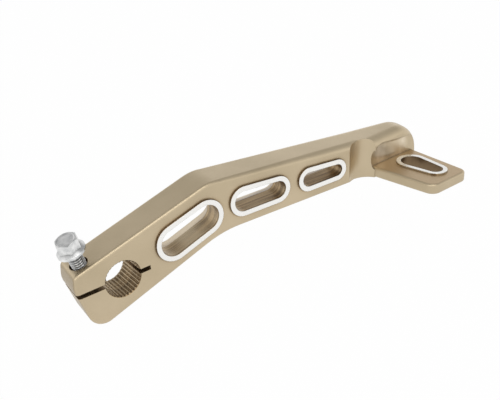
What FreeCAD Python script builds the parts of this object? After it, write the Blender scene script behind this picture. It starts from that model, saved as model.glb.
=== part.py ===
"""Kick start lever: a cast lever with a split, splined hub, and the flanged bolt that closes the hub.

Millimetres and degrees. The origin is on the bore axis, level with the front face of the arm.
+Y runs along the bore, away from the rider's side, +X runs along the arm towards the pedal, +Z is up.
"""
import FreeCAD, Part
import math
import os
import Sketcher

Vector = FreeCAD.Vector
STUB = "sizes.reach - sizes.scallop_gap + sizes.overlap"
NEAR = 1e-4

# Driving sizes: name, value, meaning
SIZES = [
    ("hub_top_angle", 22.65, "rise of the hub's top edge"),
    ("hub_top_gap", 12.75, "bore axis to the hub's top edge"),
    ("hub_bottom_angle", 25.8, "rise of the hub's bottom edge"),
    ("hub_bottom_gap", 12.0, "bore axis to the hub's bottom edge"),
    ("heel_lean", 24.3, "lean of the heel facet from upright"),
    ("heel_gap", 17.8, "bore axis to the heel facet"),
    ("nose_gap", 19.5, "bore axis to the upright nose facet"),
    ("arm_top_angle", 0.6, "rise of the outer arm's top edge"),
    ("arm_top_gap", 28.5, "bore axis to the line of the outer arm's top edge"),
    ("arm_bottom_angle", 5.5, "rise of the outer arm's bottom edge"),
    ("arm_bottom_gap", 3.15, "bore axis to the line of the outer arm's bottom edge"),
    ("arm_depth", 14.3, "front to back at the nose"),
    ("nose_draft", 5.0, "how the nose and heel facets lean in towards the back"),
    ("back_slope", 0.3, "how the back face closes in towards the pedal"),
    ("nose_corner", 2.5, "corner between the top edge and the nose"),
    ("heel_corner", 8.0, "corner between the nose and the heel facet"),
    ("toe_corner", 6.5, "corner between the heel facet and the bottom edge"),
    ("upper_knee", 17.0, "bend radius of the top edge"),
    ("lower_knee", 42.0, "bend radius of the bottom edge"),
    ("edge_round", 1.2, "rounding of the front edges and the lower edges"),
    ("crown_start", 39.5, "where the roundings of the outer arm's top edges start to grow"),
    ("crown_knee", 1.3, "rounding of those two edges where it starts to grow"),
    ("crown_front", 2.8, "rounding of the front top edge at the end of the arm"),
    ("crown_back", 3.6, "rounding of the back top edge at the end of the arm"),
    ("bore_tip", 6.9, "bore radius at the tooth tips"),
    ("bore_root", 7.3, "bore radius at the tooth roots"),
    ("tooth_count", 32, "teeth round the bore"),
    ("tooth_land", 0.46, "width of a tooth tip"),
    ("groove_floor", 0.34, "width of a groove at its root"),
    ("tooth_phase", -47.8, "direction of one tooth from +X"),
    ("bore_mouth", 0.6, "chamfer at each end of the bore"),
    ("mouth_margin", 0.15, "how far that chamfer reaches outside the tooth roots"),
    ("split_width", 1.8, "saw cut through the hub"),
    ("split_angle", 7.9, "rise of the saw cut"),
    ("split_reach", 11.4, "how far the saw cut runs past the bore axis"),
    ("rim_height", 0.8, "height of the slot rims above the arm"),
    ("rim_wall", 1.95, "wall of the slot rims"),
    ("slot_waist", 7.7, "depth from the front face where the slots are narrowest"),
    ("slot_flare", 21.0, "how the slot walls open towards the back"),
    ("slot_shift", 2.5, "how far the slots lean towards the pedal at the back"),
    ("inner_slot_x", 21.2, "first slot: hub end centre"),
    ("inner_slot_z", 9.26, "first slot: hub end centre"),
    ("inner_slot_angle", 24.3, "first slot: rise"),
    ("inner_slot_length", 15.1, "first slot: distance between end centres"),
    ("inner_slot_big", 7.52, "first slot: rim radius at the hub end"),
    ("inner_slot_small", 7.25, "first slot: rim radius at the pedal end"),
    ("middle_slot_x", 51.45, "second slot: hub end centre"),
    ("middle_slot_z", 18.22, "second slot: hub end centre"),
    ("middle_slot_angle", 3.2, "second slot: rise"),
    ("middle_slot_length", 15.2, "second slot: distance between end centres"),
    ("middle_slot_big", 6.11, "second slot: rim radius at the hub end"),
    ("middle_slot_small", 5.52, "second slot: rim radius at the pedal end"),
    ("outer_slot_x", 81.25, "third slot: hub end centre"),
    ("outer_slot_z", 19.85, "third slot: hub end centre"),
    ("outer_slot_angle", 3.3, "third slot: rise"),
    ("outer_slot_length", 13.0, "third slot: distance between end centres"),
    ("outer_slot_big", 4.96, "third slot: rim radius at the hub end"),
    ("outer_slot_small", 4.41, "third slot: rim radius at the pedal end"),
    ("overlap", 1.0, "how far joined blanks reach into each other, and cutters past what they cut"),
    ("front_stock", 4.0, "spare depth in front of the arm before the front is faced"),
    ("reach", 139.2, "bore axis to the tip of the end boss"),
    ("boss_floor", 13.2, "height of the underside of the boss and pedal"),
    ("boss_proud", 1.3, "how far the boss stands in front of the arm"),
    ("crest_gap", 27.2, "boss tip to where the boss stands furthest forward"),
    ("boss_crown", 13.0, "radius of the boss end seen from the front"),
    ("boss_round", 3.9, "rounding of the front edges of the boss"),
    ("boss_length", 34.0, "boss tip to where the boss begins inside the arm"),
    ("scallop_gap", 33.0, "boss tip to the axis of the upright scallop beside the boss"),
    ("scallop_y", 6.2, "upright scallop beside the boss: axis in front of the arm"),
    ("scallop_radius", 8.2, "upright scallop beside the boss"),
    ("pocket_depth", 1.6, "pocket in the front of the boss"),
    ("pocket_gap", 28.6, "boss tip to where the pocket's round end starts"),
    ("pocket_top", 27.4, "height of the top of the pocket at its round end"),
    ("pocket_height", 12.2, "width of the pocket from top to bottom"),
    ("pocket_tilt", 6.0, "how far the pocket dips towards the tip"),
    ("pocket_cove", 1.4, "radius along the pocket's floor"),
    ("pocket_spare", 12.0, "how far the pocket's cutter stands clear of the boss"),
    ("pedal_splay", 12.6, "how far the pedal turns outwards"),
    ("pedal_gap", 13.7, "boss tip to where the pedal's middle line meets the front face"),
    ("pedal_width", 25.0, "pedal width at the front face"),
    ("pedal_taper", 3.9, "taper of each side of the pedal"),
    ("pedal_length", 26.2, "front face to the end of the pedal"),
    ("pedal_root", 4.0, "how far the pedal reaches into the boss behind the front face"),
    ("pedal_thick", 4.3, "pedal thickness"),
    ("pedal_corner", 4.2, "corner radius of the pedal on the hub's side"),
    ("pedal_far_corner", 3.2, "corner radius of the pedal on the far side"),
    ("pedal_edge", 0.9, "rounding of the pedal's edges"),
    ("pedal_slot_gap", 11.8, "boss tip to where the pedal slot's middle line meets the front face"),
    ("pedal_slot_start", 5.2, "pedal slot: inner end centre from the front face"),
    ("pedal_slot_length", 11.2, "pedal slot: distance between end centres"),
    ("pedal_slot_big", 6.4, "pedal slot: rim radius at the inner end"),
    ("pedal_slot_small", 5.0, "pedal slot: rim radius at the outer end"),
    ("pedal_rim_height", 0.6, "height of the pedal slot's rim"),
    ("pedal_rim_wall", 1.76, "wall of the pedal slot's rim"),
    ("bolt_gap", 10.4, "bore axis to bolt axis"),
    ("bolt_depth", 6.1, "front face to bolt axis"),
    ("bolt_radius", 2.9, "bolt thread radius"),
    ("bolt_length", 25.0, "bolt length under the flange"),
    ("bolt_bevel", 0.6, "bevel at the end of the bolt"),
    ("bolt_rise", 5.8, "how far the flange stands above the hub"),
    ("flange_radius", 5.5, "bolt flange radius"),
    ("flange_thick", 1.1, "thickness of the flange rim"),
    ("flange_dome", 0.9, "height of the cone between the flange rim and the hexagon"),
    ("head_flats", 8.0, "width across the flats"),
    ("head_height", 6.0, "flange face to head top"),
    ("head_bevel_start", 3.85, "radius at which the bevel on the head's top starts"),
    ("head_bevel", 30.0, "slope of that bevel"),
    ("head_turn", 12.0, "how far the hexagon is turned"),
    ("bolt_clear", 3.0, "radius of the hole in the upper jaw"),
    ("bolt_tapped", 3.0, "radius of the hole in the lower jaw"),
    ("mouth_radius", 3.6, "radius of the recess at the top of the hole"),
    ("mouth_depth", 2.0, "depth of that recess"),
]

doc = FreeCAD.newDocument("kick_start_lever")
sheet = doc.addObject("Spreadsheet::Sheet", "sizes")
for row, (alias, value, meaning) in enumerate(SIZES, start=1):
    sheet.set(f"A{row}", alias)
    sheet.set(f"B{row}", str(value))
    sheet.setAlias(f"B{row}", alias)
    sheet.set(f"C{row}", meaning)
doc.recompute()


def size(alias):
    """The value of a driving size."""
    return float(sheet.get(alias))


def tangent(alias):
    """The tangent of a driving angle."""
    return math.tan(math.radians(size(alias)))


def bind(feature, **expressions):
    """Tie properties of a feature to the sheet: a word that starts with = is taken as it stands."""
    for name, text in expressions.items():
        feature.setExpression(name.replace("__", "."), text)


def body(name):
    return doc.addObject("PartDesign::Body", name)


def sketch(owner, name, role, offset="0"):
    """A sketch on one of the body's own planes, moved along the plane's normal."""
    new = owner.newObject("Sketcher::SketchObject", name)
    plane = next(f for f in owner.Origin.OriginFeatures if f.Role == role)
    new.AttachmentSupport = [(plane, "")]
    new.MapMode = "FlatFace"
    new.setExpression("AttachmentOffset.Base.z", offset)
    return new


def fix(target, name, kind, places, value, text):
    """A named constraint, tied to the sheet."""
    index = target.addConstraint(Sketcher.Constraint(kind, *places, value))
    target.renameConstraint(index, name)
    target.setExpression("Constraints." + name, text)


def pad(owner, name, profile, length, backwards=False):
    new = owner.newObject("PartDesign::Pad", name)
    new.Profile = profile
    new.Reversed = backwards
    new.setExpression("Length", length)
    return new


def fused(name, shapes):
    new = doc.addObject("Part::MultiFuse", name)
    new.Shapes = shapes
    return new


def meet(one, two):
    """Where two lines meet; each is a point and an angle in the front view."""
    (px, pz), a = one
    (qx, qz), b = two
    a, b = math.radians(a), math.radians(b)
    along = ((qx - px) * math.sin(b) - (qz - pz) * math.cos(b)) / math.sin(b - a)
    return px + along * math.cos(a), pz + along * math.sin(a)


def offset_line(angle, gap):
    """A line at an angle whose distance from the bore axis is the gap, above the axis when positive."""
    turn = math.radians(angle + 90)
    return (gap * math.cos(turn), gap * math.sin(turn)), angle


def corner_sketch(owner, name, role, offset, lines, rules):
    """A closed outline of straight lines.

    Rules fix each line by an angle or upright, and by its gap to the bore axis.
    """
    new = sketch(owner, name, role, offset)
    count = len(lines)
    corners = [meet(lines[i - 1], lines[i]) for i in range(count)]
    for i in range(count):
        start, end = sorted((corners[i], corners[(i + 1) % count]))
        new.addGeometry(Part.LineSegment(Vector(*start, 0), Vector(*end, 0)))
    for i in range(count):
        here = corners[i]
        ends = []
        for k in (i - 1, i):
            first = new.Geometry[k].StartPoint
            near = math.hypot(first.x - here[0], first.y - here[1]) < 1e-6
            ends += [k % count, 1 if near else 2]
        new.addConstraint(Sketcher.Constraint("Coincident", *ends))
    for i, (word, angle_text, gap_text) in enumerate(rules):
        line = new.Geometry[i]
        run = line.EndPoint - line.StartPoint
        if angle_text is None:
            new.addConstraint(Sketcher.Constraint("Vertical", i))
        else:
            fix(new, word + "_angle", "Angle", (i,), math.atan2(run.y, run.x), angle_text)
        gap = abs(run.x * line.StartPoint.y - run.y * line.StartPoint.x) / run.Length
        fix(new, word + "_gap", "Distance", (-1, 1, i), gap, gap_text)
    return new, corners


def racetrack(new, start, turn, length, big, small, texts):
    """A slot outline whose two round ends differ.

    The texts give the start's x and y, the turn, the length, and the big and the small radius.
    """
    heading = math.radians(turn)
    along = Vector(math.cos(heading), math.sin(heading), 0)
    across = Vector(-along.y, along.x, 0)
    first = Vector(*start, 0)
    second = first + along * length
    lean = math.asin((big - small) / length)

    def rim(centre, radius, side):
        return centre + (along * math.sin(lean) + across * (side * math.cos(lean))) * radius

    new.addGeometry(Part.ArcOfCircle(Part.Circle(first, Vector(0, 0, 1), big),
                                     heading + math.pi / 2 - lean, heading + 3 * math.pi / 2 + lean))
    new.addGeometry(Part.ArcOfCircle(Part.Circle(second, Vector(0, 0, 1), small),
                                     heading - math.pi / 2 + lean, heading + math.pi / 2 - lean))
    new.addGeometry(Part.LineSegment(rim(first, big, -1), rim(second, small, -1)))
    new.addGeometry(Part.LineSegment(rim(second, small, 1), rim(first, big, 1)))
    new.addGeometry(Part.LineSegment(first, second), True)
    for arc, arc_end, line, line_end in ((0, 2, 2, 1), (2, 2, 1, 1), (1, 2, 3, 1), (3, 2, 0, 1)):
        new.addConstraint(Sketcher.Constraint("Tangent", arc, arc_end, line, line_end))
    new.addConstraint(Sketcher.Constraint("Coincident", 4, 1, 0, 3))
    new.addConstraint(Sketcher.Constraint("Coincident", 4, 2, 1, 3))
    fix(new, "start_x", "DistanceX", (-1, 1, 0, 3), first.x, texts[0])
    fix(new, "start_y", "DistanceY", (-1, 1, 0, 3), first.y, texts[1])
    fix(new, "turn", "Angle", (4,), heading, texts[2])
    fix(new, "length", "Distance", (4,), length, texts[3])
    fix(new, "big", "Radius", (0,), big, texts[4])
    fix(new, "small", "Radius", (1,), small, texts[5])


def from_tip(alias):
    """A place along the arm that is set by its gap to the boss's tip."""
    return size("reach") - size(alias)


def stub():
    """Where the arm ends, inside the boss."""
    return from_tip("scallop_gap") + size("overlap")


def arm_top(x):
    return size("arm_top_gap") / math.cos(math.radians(size("arm_top_angle"))) + x * tangent("arm_top_angle")


def arm_back(x):
    return size("arm_depth") - (x + size("nose_gap")) * tangent("back_slope")


def crest_line(x):
    """How deep the boss's front face lies: it turns square to the pedal and stands proud at its crest."""
    return (x - from_tip("crest_gap")) * tangent("pedal_splay") - size("boss_proud")


def polygon(target, points):
    """Straight lines round a closed outline."""
    count = len(points)
    for i in range(count):
        first, last = points[i], points[(i + 1) % count]
        target.addGeometry(Part.LineSegment(Vector(first[0], first[1], 0), Vector(last[0], last[1], 0)))
    for i in range(count):
        target.addConstraint(Sketcher.Constraint("Coincident", i, 2, (i + 1) % count, 1))


def cut_through(owner, name, profile):
    cut = owner.newObject("PartDesign::Pocket", name)
    cut.Profile = profile
    cut.Type = "ThroughAll"
    cut.Midplane = True
    doc.recompute()


def slope_back(owner):
    """Close the back face in towards the pedal."""
    left, right, far = -size("nose_gap"), size("reach"), 2 * size("arm_depth")
    outline = sketch(owner, "back_outline", "XY_Plane")
    polygon(outline, [(left, size("arm_depth")), (right, arm_back(right)), (right, far), (left, far)])
    outline.addConstraint(Sketcher.Constraint("Vertical", 1))
    outline.addConstraint(Sketcher.Constraint("Horizontal", 2))
    outline.addConstraint(Sketcher.Constraint("Vertical", 3))
    fix(outline, "left", "DistanceX", (0, 1, -1, 1), -left, "sizes.nose_gap")
    fix(outline, "right", "DistanceX", (-1, 1, 0, 2), right, "sizes.reach")
    fix(outline, "depth", "DistanceY", (-1, 1, 0, 1), size("arm_depth"), "sizes.arm_depth")
    fix(outline, "turn", "Angle", (0,), -math.radians(size("back_slope")), "-sizes.back_slope")
    fix(outline, "far", "DistanceY", (-1, 1, 2, 1), far, "2 * sizes.arm_depth")
    cut_through(owner, "back_cut", outline)


def turn_front(owner):
    """Turn the boss's front face square to the pedal."""
    left, right, far = from_tip("boss_length"), size("reach"), -2 * size("front_stock")
    outline = sketch(owner, "front_outline", "XY_Plane")
    polygon(outline, [(left, crest_line(left)), (right, crest_line(right)), (right, far), (left, far)])
    outline.addConstraint(Sketcher.Constraint("Vertical", 1))
    outline.addConstraint(Sketcher.Constraint("Horizontal", 2))
    outline.addConstraint(Sketcher.Constraint("Vertical", 3))
    fix(outline, "left", "DistanceX", (-1, 1, 0, 1), left, "sizes.reach - sizes.boss_length")
    fix(outline, "right", "DistanceX", (-1, 1, 0, 2), right, "sizes.reach")
    fix(outline, "turn", "Angle", (0,), math.radians(size("pedal_splay")), "sizes.pedal_splay")
    fix(outline, "proud", "DistanceY", (0, 1, -1, 1), -crest_line(left),
        "sizes.boss_proud + (sizes.boss_length - sizes.crest_gap) * tan(sizes.pedal_splay * 1 deg)")
    fix(outline, "far", "DistanceY", (2, 1, -1, 1), -far, "2 * sizes.front_stock")
    cut_through(owner, "front_cut", outline)


def round_corners(owner, corners, depth, aliases):
    """Round upright edges of a padded outline, each found by its place half way through the depth."""
    for index, alias in aliases:
        base = owner.Tip
        middle = Vector(corners[index][0], depth, corners[index][1])
        rounding = owner.newObject("PartDesign::Fillet", "round_" + alias)
        rounding.Base = (base, [nearest_edge(base.Shape, middle)])
        bind(rounding, Radius="sizes." + alias)
        doc.recompute()


def nearest_face(shape, place):
    """The name of the face whose middle is nearest a place."""
    gaps = [(face.CenterOfMass - place).Length for face in shape.Faces]
    return f"Face{gaps.index(min(gaps)) + 1}"


def lean_nose(owner, corners):
    """Lean the nose and heel facets in towards the back, as a casting leaves its mould."""
    base = owner.Tip
    depth = size("arm_depth")
    faces = []
    for first, last in ((5, 6), (6, 0)):
        middle = Vector((corners[first][0] + corners[last][0]) / 2, depth / 2,
                        (corners[first][1] + corners[last][1]) / 2)
        faces.append(nearest_face(base.Shape, middle))
    front = min(range(len(base.Shape.Faces)), key=lambda i: base.Shape.Faces[i].CenterOfMass.y)
    leaning = owner.newObject("PartDesign::Draft", "nose_draft")
    leaning.Base = (base, faces)
    leaning.NeutralPlane = (base, [f"Face{front + 1}"])
    bind(leaning, Angle="sizes.nose_draft")
    doc.recompute()
    leaning.touch()
    doc.recompute()


def arm_blank():
    """Hub and bent arm as one padded outline, its corners and bends rounded and its back sloped."""
    owner = body("arm_blank")
    lines = [offset_line(size("hub_top_angle"), size("hub_top_gap")),
             offset_line(size("arm_top_angle"), size("arm_top_gap")),
             ((stub(), 0), 90),
             offset_line(size("arm_bottom_angle"), size("arm_bottom_gap")),
             offset_line(size("hub_bottom_angle"), -size("hub_bottom_gap")),
             offset_line(size("heel_lean") - 90, -size("heel_gap")),
             ((-size("nose_gap"), 0), 90)]
    rules = [("hub_top", "sizes.hub_top_angle", "sizes.hub_top_gap"),
             ("arm_top", "sizes.arm_top_angle", "sizes.arm_top_gap"),
             ("stub", None, STUB),
             ("arm_bottom", "sizes.arm_bottom_angle", "sizes.arm_bottom_gap"),
             ("hub_bottom", "sizes.hub_bottom_angle", "sizes.hub_bottom_gap"),
             ("heel", "sizes.heel_lean - 90", "sizes.heel_gap"),
             ("nose", None, "sizes.nose_gap")]
    outline, corners = corner_sketch(owner, "arm_outline", "XZ_Plane", "0", lines, rules)
    pad(owner, "arm_pad", outline, "sizes.arm_depth", backwards=True)
    doc.recompute()
    lean_nose(owner, corners)
    round_corners(owner, corners, size("arm_depth") / 2, (
        (0, "nose_corner"), (1, "upper_knee"), (4, "lower_knee"), (5, "toe_corner"), (6, "heel_corner")))
    slope_back(owner)
    return owner


def boss_blank():
    """The end boss: a block with a round upper corner, its back in line with the arm's, its front turned."""
    owner = body("boss_blank")
    lines = [offset_line(size("arm_top_angle"), size("arm_top_gap")),
             ((size("reach"), 0), 90),
             offset_line(0, size("boss_floor")),
             ((from_tip("boss_length"), 0), 90)]
    rules = [("arm_top", "sizes.arm_top_angle", "sizes.arm_top_gap"),
             ("tip", None, "sizes.reach"),
             ("floor", "0", "sizes.boss_floor"),
             ("start", None, "sizes.reach - sizes.boss_length")]
    outline, corners = corner_sketch(owner, "boss_outline", "XZ_Plane", "sizes.front_stock", lines, rules)
    pad(owner, "boss_pad", outline, "sizes.arm_depth + sizes.front_stock", backwards=True)
    doc.recompute()
    round_corners(owner, corners, (size("arm_depth") - size("front_stock")) / 2, ((1, "boss_crown"),))
    slope_back(owner)
    turn_front(owner)
    return owner


def nearest_edge(shape, place):
    """The name of the edge whose middle is nearest a place."""
    gaps = [(edge.CenterOfMass - place).Length for edge in shape.Edges]
    return f"Edge{gaps.index(min(gaps)) + 1}"


def rounded(name, base, rows):
    """Round edges of a shape; each row is an edge's number and its radius at both ends."""
    new = doc.addObject("Part::Fillet", name)
    new.Base = base
    new.Edges = rows
    doc.recompute()
    return new


def arm_rounded(blank):
    """The arm with its front and back edges rounded alike all round."""
    rows = []
    for number, edge in enumerate(blank.Shape.Edges, start=1):
        ends = edge.Vertexes[0].Point, edge.Vertexes[-1].Point
        front = all(abs(end.y) < NEAR for end in ends)
        back = all(end.y > size("arm_depth") / 2 for end in ends)
        at_stub = all(abs(end.x - stub()) < NEAR for end in ends)
        if (front or back) and not at_stub:
            rows.append((number, size("edge_round"), size("edge_round")))
    return rounded("arm_rounded", blank, rows)


def crown_section(owner, name, place, place_text, radius_alias, side):
    """The waste outside a round corner, in a plane across the arm: side is 1 at the back, -1 at the front."""
    new = sketch(owner, name, "YZ_Plane", place_text)
    radius = size(radius_alias)
    spare = size("edge_round")
    face = arm_back(place) if side > 0 else 0
    top = arm_top(place)
    centre = Vector(face - side * radius, top - radius, 0)
    on_top, on_face = Vector(centre.x, top, 0), Vector(face, centre.y, 0)
    out_top, out_corner = Vector(centre.x, top + spare, 0), Vector(face + side * spare, top + spare, 0)
    out_face = Vector(face + side * spare, centre.y, 0)
    start = 0 if side > 0 else math.pi / 2
    circle = Part.Circle(centre, Vector(0, 0, 1), radius)
    new.addGeometry(Part.ArcOfCircle(circle, start, start + math.pi / 2))
    stops = (on_top, out_top, out_corner, out_face, on_face)
    for first, last in zip(stops, stops[1:]):
        new.addGeometry(Part.LineSegment(first, last))
    top_end, face_end = (2, 1) if side > 0 else (1, 2)
    new.addConstraint(Sketcher.Constraint("Coincident", 0, top_end, 1, 1))
    for line in (1, 2, 3):
        new.addConstraint(Sketcher.Constraint("Coincident", line, 2, line + 1, 1))
    new.addConstraint(Sketcher.Constraint("Coincident", 4, 2, 0, face_end))
    for line in (1, 3):
        new.addConstraint(Sketcher.Constraint("Vertical", line))
    for line in (2, 4):
        new.addConstraint(Sketcher.Constraint("Horizontal", line))
    new.addConstraint(Sketcher.Constraint("Vertical", 0, 3, 0, top_end))
    new.addConstraint(Sketcher.Constraint("Horizontal", 0, 3, 0, face_end))
    if side > 0:
        fix(new, "face", "DistanceX", (-1, 1, 0, face_end), face,
            f"sizes.arm_depth - ({place_text} + sizes.nose_gap) * tan(sizes.back_slope * 1 deg)")
        fix(new, "spare_depth", "DistanceX", (0, face_end, 3, 2), spare, "sizes.edge_round")
    else:
        new.addConstraint(Sketcher.Constraint("PointOnObject", 0, face_end, -2))
        fix(new, "spare_depth", "DistanceX", (3, 2, 0, face_end), spare, "sizes.edge_round")
    fix(new, "top", "DistanceY", (-1, 1, 0, top_end), top,
        "sizes.arm_top_gap / cos(sizes.arm_top_angle * 1 deg)"
        f" + ({place_text}) * tan(sizes.arm_top_angle * 1 deg)")
    fix(new, "spare_height", "DistanceY", (0, top_end, 1, 2), spare, "sizes.edge_round")
    fix(new, "round", "Radius", (0,), radius, "sizes." + radius_alias)
    return new


def crown_cutter(name, side):
    """What comes off one top edge of the outer arm, where its rounding grows evenly towards the boss."""
    owner = body("crown_cut_" + name)
    start = crown_section(owner, name + "_crown_start", size("crown_start"), "sizes.crown_start",
                          "crown_knee", side)
    end = crown_section(owner, name + "_crown_end", stub(), STUB, "crown_" + name, side)
    grown = owner.newObject("PartDesign::AdditiveLoft", name + "_crown")
    grown.Profile = start
    grown.Sections = [end]
    grown.Ruled = True
    doc.recompute()
    return owner


def arm_crowned():
    """The arm, small edges at the hub and its top edges rounder and rounder along the outer arm."""
    crowned = doc.addObject("Part::Cut", "arm_crowned")
    crowned.Base = arm_rounded(arm_blank())
    crowned.Tool = fused("crown_cuts", [crown_cutter("front", -1), crown_cutter("back", 1)])
    doc.recompute()
    return crowned


def boss_rounded(blank):
    """The boss with the edges of its top, crown and tip rounded, as far as the wall at its tip has room."""
    tip_wall = arm_back(size("reach")) - crest_line(size("reach"))
    usable = 0.9
    room = min(1, usable * tip_wall / (size("boss_round") + size("crown_back")))
    rows = []
    for number, edge in enumerate(blank.Shape.Edges, start=1):
        ends = edge.Vertexes[0].Point, edge.Vertexes[-1].Point
        front = all(abs(end.y - crest_line(end.x)) < NEAR for end in ends)
        back = all(abs(end.y - arm_back(end.x)) < NEAR for end in ends)
        at_start = all(abs(end.x - from_tip("boss_length")) < NEAR for end in ends)
        at_floor = all(abs(end.z - size("boss_floor")) < NEAR for end in ends)
        if (front or back) and not at_start and not at_floor:
            radius = room * size("boss_round" if front else "crown_back")
            rows.append((number, radius, radius))
    return rounded("boss_rounded", blank, rows)


def cylinder(name, radius, height, placement):
    """A cylinder whose radius and height are sheet expressions."""
    new = doc.addObject("Part::Cylinder", name)
    bind(new, Radius=radius, Height=height)
    new.Placement = placement
    return new


def pedal():
    """The foot plate: a tapered plate turned outwards, rounded at its corners and edges."""
    owner = body("pedal_plate")
    splay = math.radians(size("pedal_splay"))
    along = Vector(math.sin(splay), -math.cos(splay), 0)
    across = Vector(math.cos(splay), math.sin(splay), 0)
    root = Vector(from_tip("pedal_gap"), 0, 0)
    outline = sketch(owner, "pedal_outline", "XY_Plane", "sizes.boss_floor")
    inside = -size("pedal_root")
    half = size("pedal_width") / 2
    taper = tangent("pedal_taper")
    corners = []
    for reach, side in ((inside, -1), (size("pedal_length"), -1), (size("pedal_length"), 1), (inside, 1)):
        corners.append(root + along * reach + across * (side * (half - reach * taper)))
    polygon(outline, corners)
    outline.addGeometry(Part.LineSegment(root, root + along * size("pedal_length")), True)
    outline.addConstraint(Sketcher.Constraint("PointOnObject", 4, 1, -1))
    outline.addConstraint(Sketcher.Constraint("Perpendicular", 4, 1))
    outline.addConstraint(Sketcher.Constraint("Parallel", 3, 1))
    outline.addConstraint(Sketcher.Constraint("Symmetric", 1, 1, 1, 2, 4, 2))
    fix(outline, "root", "DistanceX", (-1, 1, 4, 1), root.x, "sizes.reach - sizes.pedal_gap")
    fix(outline, "turn", "Angle", (4,), math.atan2(along.y, along.x), "sizes.pedal_splay - 90")
    fix(outline, "length", "Distance", (4,), size("pedal_length"), "sizes.pedal_length")
    fix(outline, "inside", "Distance", (4, 1, 3), -inside, "sizes.pedal_root")
    tip_half = half - size("pedal_length") * taper
    fix(outline, "tip", "Distance", (1,), 2 * tip_half,
        "sizes.pedal_width - 2 * sizes.pedal_length * tan(sizes.pedal_taper * 1 deg)")
    side_angle = math.radians(size("pedal_splay") - 90)
    fix(outline, "left_side", "Angle", (0,), side_angle + math.radians(size("pedal_taper")),
        "sizes.pedal_splay - 90 + sizes.pedal_taper")
    fix(outline, "right_side", "Angle", (2,), side_angle + math.pi - math.radians(size("pedal_taper")),
        "sizes.pedal_splay + 90 - sizes.pedal_taper")
    pad(owner, "pedal_pad", outline, "sizes.pedal_thick")
    doc.recompute()
    middle = Vector(0, 0, size("boss_floor") + size("pedal_thick") / 2)
    for index, alias in ((1, "pedal_corner"), (2, "pedal_far_corner")):
        base = owner.Tip
        rounding = owner.newObject("PartDesign::Fillet", "round_" + alias)
        rounding.Base = (base, [nearest_edge(base.Shape, corners[index] + middle)])
        bind(rounding, Radius="sizes." + alias)
        doc.recompute()
    edges = []
    for number, edge in enumerate(rounding.Shape.Edges, start=1):
        levels = [v.Point.z for v in edge.Vertexes]
        level = max(levels) - min(levels) < NEAR
        inner = all((v.Point - root).dot(along) < inside + NEAR for v in edge.Vertexes)
        if level and not inner:
            edges.append(f"Edge{number}")
    soften = owner.newObject("PartDesign::Fillet", "pedal_edges")
    soften.Base = (rounding, edges)
    bind(soften, Radius="sizes.pedal_edge")
    doc.recompute()
    return owner


def slot_values(name):
    """Numbers and expressions that place one arm slot's rim."""
    words = ("x", "z", "angle", "length", "big", "small")
    numbers = [size(f"{name}_slot_{word}") for word in words]
    texts = [f"sizes.{name}_slot_{word}" for word in words]
    return numbers, texts


def arm_slot(name):
    """A rim on the arm's front face, and the cutter of its slot: straight, then flared and leaning."""
    (x, z, angle, length, big, small), texts = slot_values(name)
    rim = body(name + "_rim")
    profile = sketch(rim, name + "_rim_outline", "XZ_Plane", "-sizes.overlap")
    racetrack(profile, (x, z), angle, length, big, small, texts)
    pad(rim, name + "_rim_pad", profile, "sizes.overlap + sizes.rim_height")
    cutter = body(name + "_slot")
    wall = size("rim_wall")
    narrow = texts[:4] + [text + " - sizes.rim_wall" for text in texts[4:]]
    straight = sketch(cutter, name + "_slot_outline", "XZ_Plane", "-sizes.slot_waist")
    racetrack(straight, (x, z), angle, length, big - wall, small - wall, narrow)
    pad(cutter, name + "_slot_pad", straight, "sizes.slot_waist + sizes.rim_height + sizes.overlap")
    doc.recompute()
    behind = size("arm_depth") - size("slot_waist")
    flare_out = behind * tangent("slot_flare")
    heading = math.radians(angle)
    back_x, back_z = x + size("slot_shift") * math.cos(heading), z + size("slot_shift") * math.sin(heading)
    flare_text = " + (sizes.arm_depth - sizes.slot_waist) * tan(sizes.slot_flare * 1 deg)"
    wide = [texts[0] + f" + sizes.slot_shift * cos({texts[2]} * 1 deg)",
            texts[1] + f" + sizes.slot_shift * sin({texts[2]} * 1 deg)",
            texts[2], texts[3], narrow[4] + flare_text, narrow[5] + flare_text]
    mouth = sketch(cutter, name + "_slot_mouth", "XZ_Plane", "-sizes.arm_depth")
    racetrack(mouth, (back_x, back_z), angle, length, big - wall + flare_out, small - wall + flare_out, wide)
    flare = cutter.newObject("PartDesign::AdditiveLoft", name + "_slot_flare")
    flare.Profile = straight
    flare.Sections = [mouth]
    flare.Ruled = True
    doc.recompute()
    return rim, cutter


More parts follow.
